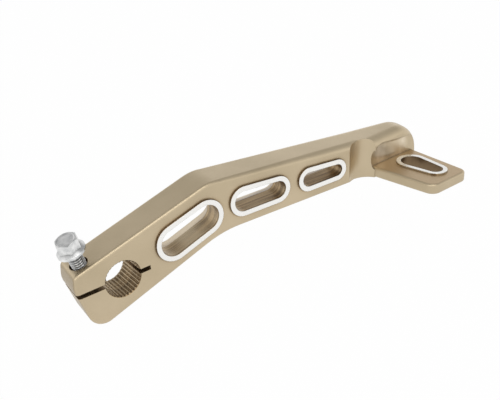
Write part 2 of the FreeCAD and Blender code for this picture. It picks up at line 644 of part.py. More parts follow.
def pedal_slot():
    """The pedal slot's rim and its cutter."""
    splay = math.radians(size("pedal_splay"))
    start = (from_tip("pedal_slot_gap") + size("pedal_slot_start") * math.sin(splay),
             -size("pedal_slot_start") * math.cos(splay))
    big, small = size("pedal_slot_big"), size("pedal_slot_small")
    texts = ["sizes.reach - sizes.pedal_slot_gap + sizes.pedal_slot_start * sin(sizes.pedal_splay * 1 deg)",
             "-sizes.pedal_slot_start * cos(sizes.pedal_splay * 1 deg)",
             "sizes.pedal_splay - 90", "sizes.pedal_slot_length",
             "sizes.pedal_slot_big", "sizes.pedal_slot_small"]
    turn, length = size("pedal_splay") - 90, size("pedal_slot_length")
    rim = body("pedal_rim")
    profile = sketch(rim, "pedal_rim_outline", "XY_Plane",
                     "sizes.boss_floor + sizes.pedal_thick - sizes.overlap")
    racetrack(profile, start, turn, length, big, small, texts)
    pad(rim, "pedal_rim_pad", profile, "sizes.overlap + sizes.pedal_rim_height")
    cutter = body("pedal_slot")
    wall = size("pedal_rim_wall")
    narrow = texts[:4] + [text + " - sizes.pedal_rim_wall" for text in texts[4:]]
    opening = sketch(cutter, "pedal_slot_outline", "XY_Plane", "sizes.boss_floor - sizes.overlap")
    racetrack(opening, start, turn, length, big - wall, small - wall, narrow)
    pad(cutter, "pedal_slot_pad", opening, "sizes.pedal_thick + sizes.pedal_rim_height + 2 * sizes.overlap")
    doc.recompute()
    return rim, cutter


def boss_pocket():
    """The shallow scoop in the boss's face above the pedal: round at one end, it runs out at the tip."""
    block = doc.addObject("Part::Box", "pocket_block")
    bind(block, Length="sizes.pocket_gap + sizes.pocket_spare",
         Width="sizes.pocket_depth + sizes.pocket_spare",
         Height="sizes.pocket_height")
    dip = FreeCAD.Rotation(Vector(0, 1, 0), size("pocket_tilt"))
    turn = FreeCAD.Rotation(Vector(0, 0, 1), size("pedal_splay")).multiply(dip)
    start = Vector(from_tip("pocket_gap"), crest_line(from_tip("pocket_gap")),
                   size("pocket_top") - size("pocket_height"))
    block.Placement = FreeCAD.Placement(start + turn.multVec(Vector(0, -size("pocket_spare"), 0)), turn)
    doc.recompute()
    inverse = block.Placement.inverse()
    width = block.Width.Value
    just_under_half = 0.49
    round_end = just_under_half * size("pocket_height")
    chosen = []
    for number, edge in enumerate(block.Shape.Edges, start=1):
        place = inverse.multVec(edge.CenterOfMass)
        if abs(place.x) < NEAR and abs(place.y - width / 2) < NEAR:
            chosen.append((number, round_end, round_end))
        elif abs(place.y - width) < NEAR and place.x < block.Length.Value - NEAR:
            chosen.append((number, size("pocket_cove"), size("pocket_cove")))
    rounded = doc.addObject("Part::Fillet", "pocket_scoop")
    rounded.Base = block
    rounded.Edges = chosen
    doc.recompute()
    return rounded


def bore_cutter():
    """The splined bore: a core to the tooth tips, one groove, and its repeats round the axis."""
    owner = body("spline_cutter")
    start = "-sizes.arm_depth - sizes.overlap"
    core = sketch(owner, "spline_core", "XZ_Plane", start)
    core.addGeometry(Part.Circle(Vector(0, 0, 0), Vector(0, 0, 1), size("bore_tip")))
    core.addConstraint(Sketcher.Constraint("Coincident", 0, 3, -1, 1))
    fix(core, "tip", "Radius", (0,), size("bore_tip"), "sizes.bore_tip")
    pad(owner, "spline_core_pad", core, "sizes.arm_depth + 2 * sizes.overlap")
    doc.recompute()
    groove = sketch(owner, "groove_outline", "XZ_Plane", start)
    tip, root = size("bore_tip"), size("bore_root")
    pitch = 2 * math.pi / size("tooth_count")
    wide = tip * pitch - size("tooth_land")
    floor = size("groove_floor")
    lap = size("overlap") / 2
    inner = tip - lap
    spread = wide + (wide - floor) * lap / (root - tip)
    heading = math.radians(size("tooth_phase")) + pitch / 2
    along = Vector(math.cos(heading), math.sin(heading), 0)
    across = Vector(-along.y, along.x, 0)
    corners = [along * inner - across * (spread / 2), along * root - across * (floor / 2),
               along * root + across * (floor / 2), along * inner + across * (spread / 2)]
    polygon(groove, corners)
    groove.addGeometry(Part.LineSegment(Vector(0, 0, 0), along * root), True)
    groove.addConstraint(Sketcher.Constraint("Coincident", 4, 1, -1, 1))
    groove.addConstraint(Sketcher.Constraint("Symmetric", 1, 1, 1, 2, 4, 2))
    groove.addConstraint(Sketcher.Constraint("Symmetric", 3, 1, 3, 2, 4))
    groove.addConstraint(Sketcher.Constraint("Perpendicular", 4, 1))
    fix(groove, "heading", "Angle", (4,), heading, "sizes.tooth_phase + 180 / sizes.tooth_count")
    fix(groove, "root", "Distance", (4,), root, "sizes.bore_root")
    fix(groove, "floor", "Distance", (1,), floor, "sizes.groove_floor")
    fix(groove, "inner", "Distance", (-1, 1, 3), inner, "sizes.bore_tip - sizes.overlap / 2")
    fix(groove, "spread", "Distance", (3,), spread,
        "(2 * pi * sizes.bore_tip / sizes.tooth_count - sizes.tooth_land)"
        " * (1 + sizes.overlap / 2 / (sizes.bore_root - sizes.bore_tip))"
        " - sizes.groove_floor * sizes.overlap / 2 / (sizes.bore_root - sizes.bore_tip)")
    cut = pad(owner, "groove_pad", groove, "sizes.arm_depth + 2 * sizes.overlap")
    doc.recompute()
    ring = owner.newObject("PartDesign::PolarPattern", "groove_ring")
    ring.Originals = [cut]
    ring.Axis = (core, ["N_Axis"])
    ring.Angle = 360
    bind(ring, Occurrences="sizes.tooth_count")
    owner.Tip = ring
    doc.recompute()
    return owner


def bore_mouth(name, place, direction):
    """The chamfer at one end of the bore."""
    new = doc.addObject("Part::Cone", name)
    bind(new, Radius1="sizes.bore_root + sizes.mouth_margin",
         Radius2="sizes.bore_root + sizes.mouth_margin - sizes.bore_mouth",
         Height="sizes.bore_mouth")
    new.Placement = FreeCAD.Placement(place, FreeCAD.Rotation(Vector(0, 0, 1), direction))
    return new


def split():
    """The saw cut that lets the hub close: from the nose, through the bore, to just past it."""
    new = doc.addObject("Part::Box", "split_cut")
    run = size("nose_gap") + 2 * size("overlap")
    bind(new, Length="sizes.nose_gap + 2 * sizes.overlap + sizes.split_reach",
         Width="sizes.arm_depth + 2 * sizes.overlap", Height="sizes.split_width")
    turn = FreeCAD.Rotation(Vector(0, 1, 0), -size("split_angle"))
    corner = turn.multVec(Vector(-run, -size("overlap"), -size("split_width") / 2))
    new.Placement = FreeCAD.Placement(corner, turn)
    return new


def bolt_frame():
    """A placement whose Z runs up the bolt axis and whose origin is level with the bore axis."""
    rise = math.radians(size("hub_top_angle"))
    start = Vector(-size("bolt_gap") * math.cos(rise), size("bolt_depth"), -size("bolt_gap") * math.sin(rise))
    return FreeCAD.Placement(start, FreeCAD.Rotation(Vector(0, 1, 0), -size("hub_top_angle")))


def bolt_holes():
    """Clear hole and recess through the upper jaw, tapped hole through the lower one."""
    top = size("hub_top_gap")
    split_level = size("bolt_gap") * math.tan(math.radians(size("hub_top_angle") - size("split_angle")))
    split_text = "sizes.bolt_gap * tan((sizes.hub_top_angle - sizes.split_angle) * 1 deg)"
    pieces = []
    for name, radius, low, height in (
            ("hole_tapped", "bolt_tapped", -2 * top, f"2 * sizes.hub_top_gap + {split_text}"),
            ("hole_clear", "bolt_clear", split_level, f"sizes.hub_top_gap + sizes.overlap - {split_text}"),
            ("hole_mouth", "mouth_radius", top - size("mouth_depth"), "sizes.mouth_depth + sizes.overlap")):
        place = bolt_frame().multiply(FreeCAD.Placement(Vector(0, 0, low), FreeCAD.Rotation()))
        pieces.append(cylinder(name, "sizes." + radius, height, place))
    return pieces


def clamp_bolt():
    """The flanged hexagon bolt, turned about its own axis and then set into the hub."""
    owner = body("clamp_bolt")
    profile = sketch(owner, "bolt_profile", "XZ_Plane")
    radius, length = size("bolt_radius"), size("bolt_length")
    flange, thick, dome = size("flange_radius"), size("flange_thick"), size("flange_dome")
    cone = size("head_flats") / 2
    bevel = size("bolt_bevel")
    points = [(0, -length), (radius - bevel, -length), (radius, bevel - length), (radius, 0), (flange, 0),
              (flange, thick), (cone, thick + dome), (0, thick + dome)]
    polygon(profile, points)
    for i in (0, 3, 6):
        profile.addConstraint(Sketcher.Constraint("Horizontal", i))
    for i in (2, 4, 7):
        profile.addConstraint(Sketcher.Constraint("Vertical", i))
    profile.addConstraint(Sketcher.Constraint("PointOnObject", 0, 1, -2))
    profile.addConstraint(Sketcher.Constraint("PointOnObject", 3, 1, -1))
    fix(profile, "length", "DistanceY", (0, 1, -1, 1), length, "sizes.bolt_length")
    fix(profile, "tip", "DistanceX", (-1, 1, 0, 2), radius - bevel, "sizes.bolt_radius - sizes.bolt_bevel")
    fix(profile, "bevel", "DistanceY", (0, 2, 1, 2), bevel, "sizes.bolt_bevel")
    fix(profile, "shank", "DistanceX", (-1, 1, 3, 1), radius, "sizes.bolt_radius")
    fix(profile, "flange", "DistanceX", (-1, 1, 3, 2), flange, "sizes.flange_radius")
    fix(profile, "thick", "DistanceY", (4, 1, 4, 2), thick, "sizes.flange_thick")
    fix(profile, "dome", "DistanceY", (4, 2, 5, 2), dome, "sizes.flange_dome")
    fix(profile, "cone", "DistanceX", (-1, 1, 5, 2), cone, "sizes.head_flats / 2")
    turned = owner.newObject("PartDesign::Revolution", "bolt_turned")
    turned.Profile = profile
    turned.ReferenceAxis = (profile, ["V_Axis"])
    turned.Angle = 360
    doc.recompute()
    hexagon = sketch(owner, "bolt_hexagon", "XY_Plane", "sizes.flange_thick")
    across = size("head_flats") / math.sqrt(3)
    turn = math.radians(size("head_turn"))
    corners = [Vector(across * math.cos(turn + k * math.pi / 3), across * math.sin(turn + k * math.pi / 3), 0)
               for k in range(6)]
    polygon(hexagon, corners)
    hexagon.addGeometry(Part.Circle(Vector(0, 0, 0), Vector(0, 0, 1), across), True)
    hexagon.addGeometry(Part.LineSegment(Vector(0, 0, 0), corners[0]), True)
    for i in range(6):
        hexagon.addConstraint(Sketcher.Constraint("PointOnObject", i, 1, 6))
    for i in range(1, 6):
        hexagon.addConstraint(Sketcher.Constraint("Equal", 0, i))
    hexagon.addConstraint(Sketcher.Constraint("Coincident", 6, 3, -1, 1))
    hexagon.addConstraint(Sketcher.Constraint("Coincident", 7, 1, -1, 1))
    hexagon.addConstraint(Sketcher.Constraint("Coincident", 7, 2, 0, 1))
    fix(hexagon, "turn", "Angle", (7,), turn, "sizes.head_turn")
    fix(hexagon, "corner", "Radius", (6,), across, "sizes.head_flats / sqrt(3)")
    pad(owner, "bolt_head", hexagon, "sizes.head_height - sizes.flange_thick")
    doc.recompute()
    trim = sketch(owner, "head_trim_outline", "XZ_Plane")
    high, start, wide = size("head_height"), size("head_bevel_start"), size("head_flats")
    polygon(trim, [(start, high), (wide, high - (wide - start) * tangent("head_bevel")), (wide, high)])
    trim.addConstraint(Sketcher.Constraint("Vertical", 1))
    trim.addConstraint(Sketcher.Constraint("Horizontal", 2))
    fix(trim, "high", "DistanceY", (-1, 1, 0, 1), high, "sizes.head_height")
    fix(trim, "start", "DistanceX", (-1, 1, 0, 1), start, "sizes.head_bevel_start")
    fix(trim, "wide", "DistanceX", (-1, 1, 1, 1), wide, "sizes.head_flats")
    fix(trim, "slant", "Angle", (0,), -math.radians(size("head_bevel")), "-sizes.head_bevel")
    bevelled = owner.newObject("PartDesign::Groove", "head_trim")
    bevelled.Profile = trim
    bevelled.ReferenceAxis = (trim, ["V_Axis"])
    bevelled.Angle = 360
    doc.recompute()
    level = size("hub_top_gap") + size("bolt_rise")
    owner.Placement = bolt_frame().multiply(FreeCAD.Placement(Vector(0, 0, level), FreeCAD.Rotation()))
    return owner


def lever():
    """All the cast pieces joined, then every opening cut."""
    arm = arm_crowned()
    foot = Vector(from_tip("scallop_gap"), -size("scallop_y"), 0)
    scallop = cylinder("scallop", "sizes.scallop_radius", "2 * sizes.arm_top_gap",
                       FreeCAD.Placement(foot, FreeCAD.Rotation()))
    block = doc.addObject("Part::Cut", "arm_with_boss")
    block.Base = fused("arm_and_boss", [arm, boss_rounded(boss_blank())])
    block.Tool = fused("boss_cuts", [scallop, boss_pocket()])
    slots = [arm_slot(name) for name in ("inner", "middle", "outer")] + [pedal_slot()]
    solid = fused("lever_solid", [block, pedal()] + [rim for rim, _ in slots])
    cutters = [cutter for _, cutter in slots] + [bore_cutter(), split()] + bolt_holes()
    cutters.append(bore_mouth("front_mouth", Vector(0, 0, 0), Vector(0, 1, 0)))
    cutters.append(bore_mouth("back_mouth", Vector(0, arm_back(0), 0), Vector(0, -1, 0)))
    whole = doc.addObject("Part::Cut", "lever")
    whole.Base = solid
    whole.Tool = fused("lever_cuts", cutters)
    doc.recompute()
    return whole


def check(parts):
    """Stop on anything that failed to build."""
    for item in doc.Objects:
        faults = [word for word in item.State if word in ("Invalid", "Error")]
        if faults:
            raise RuntimeError(f"{item.Name} is {faults}")
    for node in parts:
        shape = node.Shape
        if shape.isNull() or not shape.isValid() or len(shape.Solids) != 1:
            raise RuntimeError(f"{node.Label} has no valid single solid")


def main():
    parts = [lever(), clamp_bolt()]
    doc.recompute()
    parts[0].Label = "lever"
    parts[1].Label = "clamp_bolt"
    check(parts)
    os.makedirs("parts", exist_ok=True)
    for node in parts:
        node.Shape.exportStep(f"parts/{node.Label}.step")
        box = node.Shape.BoundBox
        print(f"{node.Label}: {box.XLength:.1f} x {box.YLength:.1f} x {box.ZLength:.1f} mm, "
              f"{node.Shape.Volume / 1000:.2f} cm3")


main()
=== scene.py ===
"""Kick start lever: a satin bronze casting with bare machined rims, and its bright plated clamp bolt.

Metres, in the part's own frame: the origin is on the bore axis at the arm's front face,
+X runs towards the pedal, +Y to the back and +Z up. Sizes written here in millimetres are scaled by MM.
"""

import math

import bpy
from mathutils import Matrix, Vector


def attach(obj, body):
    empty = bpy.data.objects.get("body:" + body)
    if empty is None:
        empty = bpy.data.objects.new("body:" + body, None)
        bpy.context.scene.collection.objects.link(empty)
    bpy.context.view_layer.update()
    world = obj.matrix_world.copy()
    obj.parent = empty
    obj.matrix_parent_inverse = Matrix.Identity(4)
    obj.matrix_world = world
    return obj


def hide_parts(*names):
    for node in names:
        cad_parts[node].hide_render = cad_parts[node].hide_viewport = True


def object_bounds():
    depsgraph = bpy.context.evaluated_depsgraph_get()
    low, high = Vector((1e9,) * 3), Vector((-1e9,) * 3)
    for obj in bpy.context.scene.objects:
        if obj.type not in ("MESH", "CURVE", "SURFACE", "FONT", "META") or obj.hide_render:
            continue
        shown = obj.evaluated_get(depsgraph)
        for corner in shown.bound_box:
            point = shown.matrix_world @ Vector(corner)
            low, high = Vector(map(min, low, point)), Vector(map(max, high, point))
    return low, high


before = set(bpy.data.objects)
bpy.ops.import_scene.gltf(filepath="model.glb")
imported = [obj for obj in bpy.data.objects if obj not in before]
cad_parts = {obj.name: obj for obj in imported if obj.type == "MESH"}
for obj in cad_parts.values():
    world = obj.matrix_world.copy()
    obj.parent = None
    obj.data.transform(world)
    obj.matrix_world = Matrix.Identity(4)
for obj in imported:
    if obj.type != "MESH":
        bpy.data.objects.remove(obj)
cad_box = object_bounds()
MM = 0.001

# The camera: where it looks, and the pixel and depth at which it sees the origin
PHOTO_WIDTH, PHOTO_HEIGHT = 500, 400
FOCAL_PIXELS = 1300
SENSOR = 36.0
YAW, LOOK_DOWN = math.radians(32.93), math.radians(25.11)
ORIGIN_PIXEL = (123.47, 279.04)
ORIGIN_DEPTH = 468.7 * MM
CLIP_NEAR, CLIP_FAR = 0.01, 50

# The lamps: the way to each from the lever's middle, then its distance and width in metres and its watts
LAMPS = {
    "key": ((-0.12, -0.60, 0.79), 0.9, 0.6, 1.7),
    "fill": ((-0.8, -0.5, 0.5), 1.1, 0.7, 1.2),
}

# The floor: its half width, its grey, and how much it glows when seen directly and in a mirror
FLOOR_REACH, FLOOR_GREY = 3.0, 0.82
FLOOR_SEEN, FLOOR_MIRRORED = 0.98, 0.82

# The bolt, as the frame holds it
HUB_RISE = math.radians(22.65)
BOLT_GAP, BOLT_DEPTH, BOLT_SEAT = 10.4, 6.1, 18.55
BOLT_LENGTH, THREAD_CREST = 25.0, 2.9
FLANGE_RADIUS, FLANGE_THICK, FLANGE_DOME = 5.5, 1.1, 0.9
HEAD_FLATS, HEAD_HEIGHT, HEAD_TURN = 8.0, 6.0, math.radians(12.0)
BEVEL_START, BEVEL = 3.85, math.radians(30.0)

# What only the scene's bolt has: a cut thread, a rounded flange and a dished head
THREAD_DEPTH, THREAD_PITCH = 0.56, 1.0
THREAD_STOP, THREAD_FADE = 0.5, 0.8
ROOT_FLAT, FLANK_SHARE = 0.1, 0.75
END_INSET, NECK_STEP, FLANGE_SOFT = 1.2, 0.1, 0.15
DISH_EDGE, DISH_FOOT, DISH_DEPTH = 0.35, 0.75, 0.22
BOLT_SIDES, RINGS_PER_PITCH = 96, 10
SHARP_ANGLE = math.radians(28)

# Where the bare rims lie, the low part of the arm rims' walls that gets painted shade, and the coating round
# them
ARM_RIM_LEVEL, ARM_RIM_SLACK, ARM_RIM_END = -0.8, 0.05, 100.0
RIM_WALL_FROM, RIM_WALL_TO = ARM_RIM_LEVEL / 2, -0.02
PEDAL_RIM_LEVEL, PEDAL_RIM_SLACK = 18.1, 0.1
PLATE_TOP_FROM, PLATE_TOP_TO = PEDAL_RIM_LEVEL - 0.9, PEDAL_RIM_LEVEL - 0.3

# Where the pocket, the pedal plate and the bore lie
CREST, SPLAY, BOSS_PROUD = 112.0, math.radians(12.6), 1.3
PLATE_FLOOR, PEDAL_SLOT_START = 13.3, (128.53, -5.08)
PEDAL_SLOT_HALF, PEDAL_SLOT_END = 4.75, 14.6
BORE_REACH = 7.42

# From both ends of the pocket, where its painted light starts and where it is full
POCKET_ALONG = (112.5, 116.0), (135.0, 129.0)
POCKET_UPRIGHT = (15.5, 18.5), (27.0, 24.0)

# A face looks straight along an axis beyond FLAT, and across it within STEEP
FLAT, STEEP = 0.95, 0.5

# Colours; a pair is the two ends of a cloudy or streaked mix
COATING = (0.522, 0.429, 0.287), (0.607, 0.501, 0.345)
# POCKET_LIGHT is mottled painted light that lightens the pocket's floor
POCKET_LIGHT = (0.68, 0.57, 0.41), (0.92, 0.81, 0.64)
# DEEP_SHADE is streaked painted shade for deep in the arm's slots and between the bore's teeth
DEEP_SHADE = (0.090, 0.048, 0.018), (0.410, 0.285, 0.150)
# NOSE_SHADE is painted shade for the hub's end face
PLATE_BROWN, NOSE_SHADE = (0.500, 0.365, 0.217), (0.15, 0.11, 0.06)
# PEDAL_SLOT_SHADE is painted shade on the pedal slot's walls; CREVICE_SHADE is painted shade in creases and
# low on the arm rims' walls
PEDAL_SLOT_SHADE, CREVICE_SHADE = (0.170, 0.110, 0.058), (0.110, 0.070, 0.035)
BARE_METAL = (0.93, 0.92, 0.89)
ZINC = (0.60, 0.61, 0.61), (0.92, 0.92, 0.91)
# ZINC_TOP_SHADE and ZINC_GROOVE_SHADE are painted shade on the bolt's top and in its thread and creases
ZINC_TOP_SHADE, ZINC_GROOVE_SHADE = (0.45, 0.45, 0.45), (0.16, 0.16, 0.16)

# Noises: the scale, the detail and, where it is drawn out, the stretch
CLOUD, GRAIN, MOTTLE = (45, 3.0), (1600, 2.0), (170, 1.0)
STREAKS, TOOL_MARKS = (1000, 2.0, (0.04, 1.0, 0.04)), (900, 1.0, (1.0, 1.0, 0.08))
ZINC_CLOUD, ZINC_GRAIN = (420, 3.0), (2400, 2.0)

# Ramps: a value that runs between the first two numbers becomes one between the last two
CLOUD_RAMP, MOTTLE_RAMP = (0.3, 0.7, 0.0, 1.0), (0.40, 0.65, 0.0, 1.0)
STREAK_RAMP, ZINC_RAMP = (0.35, 0.65, 0.0, 1.0), (0.36, 0.64, 0.0, 1.0)
COATING_ROUGH, BARE_ROUGH, ZINC_ROUGH = (0.3, 0.7, 0.30, 0.40), (0.3, 0.7, 0.22, 0.38), (0.3, 0.7, 0.26, 0.38)
POCKET_RECESS, POCKET_FACING = (0.3 * MM, 1.3 * MM, 0.0, 1.0), (-0.2, -0.6, 0.0, 1.0)
# NOSE_RAMP and TEETH_RAMP set how much painted shade lies on the hub's end and between the bore's teeth
NOSE_RAMP, TEETH_RAMP = (-0.95, -0.75, 0.42, 0.0), (6.92 * MM, 7.25 * MM, 0.50, 0.92)
# SLOT_RAMP and CREVICE_RAMP set how much painted shade lies in the arm's slots and in the creases
SLOT_RAMP, CREVICE_RAMP = (0.13, 0.38, 0.0, 0.88), (0.25, 0.55, 0.0, 0.75)
# ZINC_TOP_RAMP and GROOVE_RAMP set the painted shade on the bolt's top and in its grooves
ZINC_TOP_RAMP, GROOVE_RAMP = (0.6, 0.95, 0.0, 0.38), (0.10, 0.34, 0.0, 0.85)
STUDIO_RAMP = (0.2, 0.7, 1.12, 0.54)

# How far crowding surfaces are felt, how strongly the plate top's tone shows, and how strongly painted shade
# shows on the pedal slot's walls and the rims' walls
SLOT_REACH, CREVICE_REACH, GROOVE_REACH = 12, 1.1, 1.8
PLATE_TOP_SHARE, PEDAL_SLOT_SHADE_SHARE, RIM_WALL_SHADE_SHARE = 0.8, 0.9, 0.85

# How metallic each piece is, its fine bumps, and the rounding that the shading gives the casting's edges
CASTING_METALLIC, ZINC_METALLIC = 0.95, 1.0
COATING_BUMP = {"Strength": 0.06, "Distance": 0.05 * MM}
ZINC_BUMP = {"Strength": 0.08, "Distance": 0.04 * MM}
EDGE_ROUNDING, EDGE_SAMPLES = 0.35 * MM, 4


def make_camera():
    """The photograph's view: a long lens from the front left, a little above."""
    level = math.cos(LOOK_DOWN)
    look = Vector((math.sin(YAW) * level, math.cos(YAW) * level, -math.sin(LOOK_DOWN)))
    right = Vector((math.cos(YAW), -math.sin(YAW), 0))
    up = right.cross(look)
    per_pixel = ORIGIN_DEPTH / FOCAL_PIXELS
    across = (ORIGIN_PIXEL[0] - PHOTO_WIDTH / 2) * per_pixel
    down = (ORIGIN_PIXEL[1] - PHOTO_HEIGHT / 2) * per_pixel
    camera = bpy.data.objects.new("camera", bpy.data.cameras.new("camera"))
    bpy.context.scene.collection.objects.link(camera)
    camera.data.sensor_width = SENSOR
    camera.data.lens = SENSOR * FOCAL_PIXELS / PHOTO_WIDTH
    camera.location = -look * ORIGIN_DEPTH - right * across + up * down
    camera.rotation_euler = Matrix((right, up, -look)).transposed().to_euler()
    camera.data.clip_start, camera.data.clip_end = CLIP_NEAR, CLIP_FAR
    bpy.context.scene.camera = camera


class Nodes:
    """Short words for building a node tree."""

    def __init__(self, tree):
        self.tree = tree
        tree.nodes.clear()

    def add(self, kind, **values):
        """A node; values name its properties, or its inputs with spaces written as underscores."""
        node = self.tree.nodes.new("ShaderNode" + kind)
        for name, value in values.items():
            if hasattr(node, name):
                setattr(node, name, value)
            else:
                node.inputs[name.replace("_", " ")].default_value = value
        return node

    def link(self, source, target):
        self.tree.links.new(source, target)

    def feed(self, socket, value):
        """A socket takes another node's output, or a plain number."""
        if isinstance(value, (int, float)):
            socket.default_value = value
        else:
            self.link(value, socket)

    def maths(self, operation, first, second=0.0):
        node = self.add("Math", operation=operation)
        self.feed(node.inputs[0], first)
        self.feed(node.inputs[1], second)
        return node.outputs[0]

    def every(self, first, *others):
        """The product of all values, so 1 only where each of them is 1."""
        for other in others:
            first = self.maths("MULTIPLY", first, other)
        return first

    def within(self, value, low, high):
        """1 where a value lies between two bounds."""
        return self.every(self.maths("GREATER_THAN", value, low), self.maths("LESS_THAN", value, high))

    def remap(self, value, low, high, to_low, to_high):
        node = self.add("MapRange", From_Min=low, From_Max=high, To_Min=to_low, To_Max=to_high)
        self.link(value, node.inputs["Value"])
        return node.outputs["Result"]

    def split(self, vector):
        """A vector's three numbers."""
        node = self.add("SeparateXYZ")
        self.link(vector, node.inputs[0])
        return tuple(node.outputs)

    def noise(self, place, scale, detail, stretch=None):
        node = self.add("TexNoise", Scale=scale, Detail=detail)
        if stretch:
            squeeze = self.add("Mapping", Scale=stretch)
            self.link(place, squeeze.inputs["Vector"])
            place = squeeze.outputs["Vector"]
        self.link(place, node.inputs["Vector"])
        return node.outputs["Fac"]

    def blend(self, share, first, second):
        """A colour between two, each a colour or another node's output."""
        node = self.add("Mix", data_type="RGBA")
        self.feed(node.inputs["Factor"], share)
        colours = [i for i in node.inputs if i.type == "RGBA"]
        for socket, value in zip(colours, (first, second)):
            if isinstance(value, tuple):
                socket.default_value = (*value, 1)
            else:
                self.link(value, socket)
        return next(o for o in node.outputs if o.type == "RGBA")

    def closeness(self, distance, samples=6):
        """Towards 1 where the object's own surfaces crowd a place within the distance, 0 in the open."""
        node = self.add("AmbientOcclusion", samples=samples, only_local=True, Distance=distance * MM)
        return self.maths("SUBTRACT", 1.0, node.outputs["AO"])


class Casting(Nodes):
    """The lever's node tree, which knows where each point lies and which way it faces."""

    def __init__(self, tree):
        super().__init__(tree)
        self.place = self.add("TexCoord").outputs["Object"]
        self.x, self.y, self.z = self.split(self.place)
        self.facing = self.split(self.add("NewGeometry").outputs["True Normal"])
        self.faces_up = self.maths("GREATER_THAN", self.facing[2], FLAT)
        self.on_arm = self.maths("LESS_THAN", self.x, ARM_RIM_END * MM)
        self.on_pedal = self.maths("GREATER_THAN", self.x, ARM_RIM_END * MM)

    def bare_rims(self):
        """1 on the machined faces of the rims, which look forward on the arm and up on the pedal."""
        faces_front = self.maths("LESS_THAN", self.facing[1], -FLAT)
        at_level = self.maths("LESS_THAN", self.y, (ARM_RIM_LEVEL + ARM_RIM_SLACK) * MM)
        near_level = self.maths("COMPARE", self.z, PEDAL_RIM_LEVEL * MM)
        near_level.node.inputs[2].default_value = PEDAL_RIM_SLACK * MM
        arm_rims = self.every(faces_front, at_level, self.on_arm)
        pedal_rim = self.every(self.faces_up, near_level, self.on_pedal)
        return self.maths("MAXIMUM", arm_rims, pedal_rim)

    def plate_top(self):
        """1 on the pedal's flat top."""
        at_level = self.within(self.z, PLATE_TOP_FROM * MM, PLATE_TOP_TO * MM)
        return self.every(self.faces_up, at_level, self.on_pedal)

    def pocket(self):
        """1 on the floor of the pocket in the boss, which lies behind the boss's turned front face; painted
        light is laid there.
        """
        slant = self.maths("MULTIPLY", self.maths("SUBTRACT", self.x, CREST * MM), math.tan(SPLAY))
        recess = self.maths("ADD", self.maths("SUBTRACT", self.y, slant), BOSS_PROUD * MM)
        share = self.every(self.remap(recess, *POCKET_RECESS), self.remap(self.facing[1], *POCKET_FACING))
        for value, ends in ((self.x, POCKET_ALONG), (self.z, POCKET_UPRIGHT)):
            for start, full in ends:
                share = self.every(share, self.remap(value, start * MM, full * MM, 0.0, 1.0))
        return share

    def pedal_slot_walls(self):
        """1 on the walls of the pedal's slot, which is found from above by its distance along and across;
        painted shade goes there.
        """
        start_x, start_y = PEDAL_SLOT_START
        off_x = self.maths("SUBTRACT", self.x, start_x * MM)
        off_y = self.maths("SUBTRACT", self.y, start_y * MM)
        sine, cosine = math.sin(SPLAY), math.cos(SPLAY)
        along = self.maths("SUBTRACT", self.every(off_x, sine), self.every(off_y, cosine))
        across = self.maths("ADD", self.every(off_x, cosine), self.every(off_y, sine))
        half, end = PEDAL_SLOT_HALF * MM, PEDAL_SLOT_END * MM
        in_slot = self.every(self.within(along, -half, end), self.within(across, -half, half))
        upright = self.within(self.facing[2], -STEEP, STEEP)
        return self.every(in_slot, upright, self.maths("GREATER_THAN", self.z, PLATE_FLOOR * MM))

    def deep_shade_share(self):
        """How much painted shade shows: more where the arm's slots are deep, and more between the bore's
        teeth.
        """
        squares = self.maths("ADD", self.every(self.x, self.x), self.every(self.z, self.z))
        from_axis = self.maths("SQRT", squares)
        in_bore = self.maths("LESS_THAN", from_axis, BORE_REACH * MM)
        deep = self.every(self.remap(self.closeness(SLOT_REACH), *SLOT_RAMP), self.on_arm)
        deep = self.every(deep, self.maths("SUBTRACT", 1.0, in_bore))
        return self.maths("MAXIMUM", deep, self.every(in_bore, self.remap(from_axis, *TEETH_RAMP)))

    def crevices(self):
        """How much painted shade lies in the crevices: where surfaces meet, and low on the walls of the arm's
        rims.
        """
        upright = self.within(self.facing[1], -STEEP, STEEP)
        rim_walls = self.every(upright, self.within(self.y, RIM_WALL_FROM * MM, RIM_WALL_TO * MM))
        creases = self.remap(self.closeness(CREVICE_REACH), *CREVICE_RAMP)
        return self.maths("MAXIMUM", creases, self.every(rim_walls, self.on_arm, RIM_WALL_SHADE_SHARE))

    def coating(self):
        """The coating's colour, from the cloudy ground tone up to the painted shade in the crevices that lies
        over all else; painted light lifts the pocket, and painted shade darkens the hub's end, the slots and
        the bore's teeth.
        """
        colour = self.blend(self.remap(self.noise(self.place, *CLOUD), *CLOUD_RAMP), *COATING)
        colour = self.blend(self.every(self.plate_top(), PLATE_TOP_SHARE), colour, PLATE_BROWN)
        # painted light on the pocket's floor
        painted_pocket_light = self.blend(self.remap(self.noise(self.place, *MOTTLE), *MOTTLE_RAMP), *POCKET_LIGHT)
        colour = self.blend(self.pocket(), colour, painted_pocket_light)
        # painted shade on the hub's end, which faces along -X
        nose = self.every(self.maths("LESS_THAN", self.x, 0.0), self.remap(self.facing[0], *NOSE_RAMP))
        colour = self.blend(nose, colour, NOSE_SHADE)
        # painted shade on the walls of the pedal's slot
        colour = self.blend(self.every(self.pedal_slot_walls(), PEDAL_SLOT_SHADE_SHARE), colour, PEDAL_SLOT_SHADE)
        # painted shade, streaked along the walls, deep in the arm's slots and between the bore's teeth
        deep_shade = self.blend(self.remap(self.noise(self.place, *STREAKS), *STREAK_RAMP), *DEEP_SHADE)
        colour = self.blend(self.deep_shade_share(), colour, deep_shade)
        # painted shade in the creases and low on the arm rims' walls, over all else
        return self.blend(self.crevices(), colour, CREVICE_SHADE)


def new_material(name, kind=Nodes):
    material = bpy.data.materials.new(name)
    material.use_nodes = True
    return material, kind(material.node_tree)


def finish_material(nodes, shader):
    output = nodes.add("OutputMaterial")
    nodes.link(shader.outputs[0], output.inputs["Surface"])


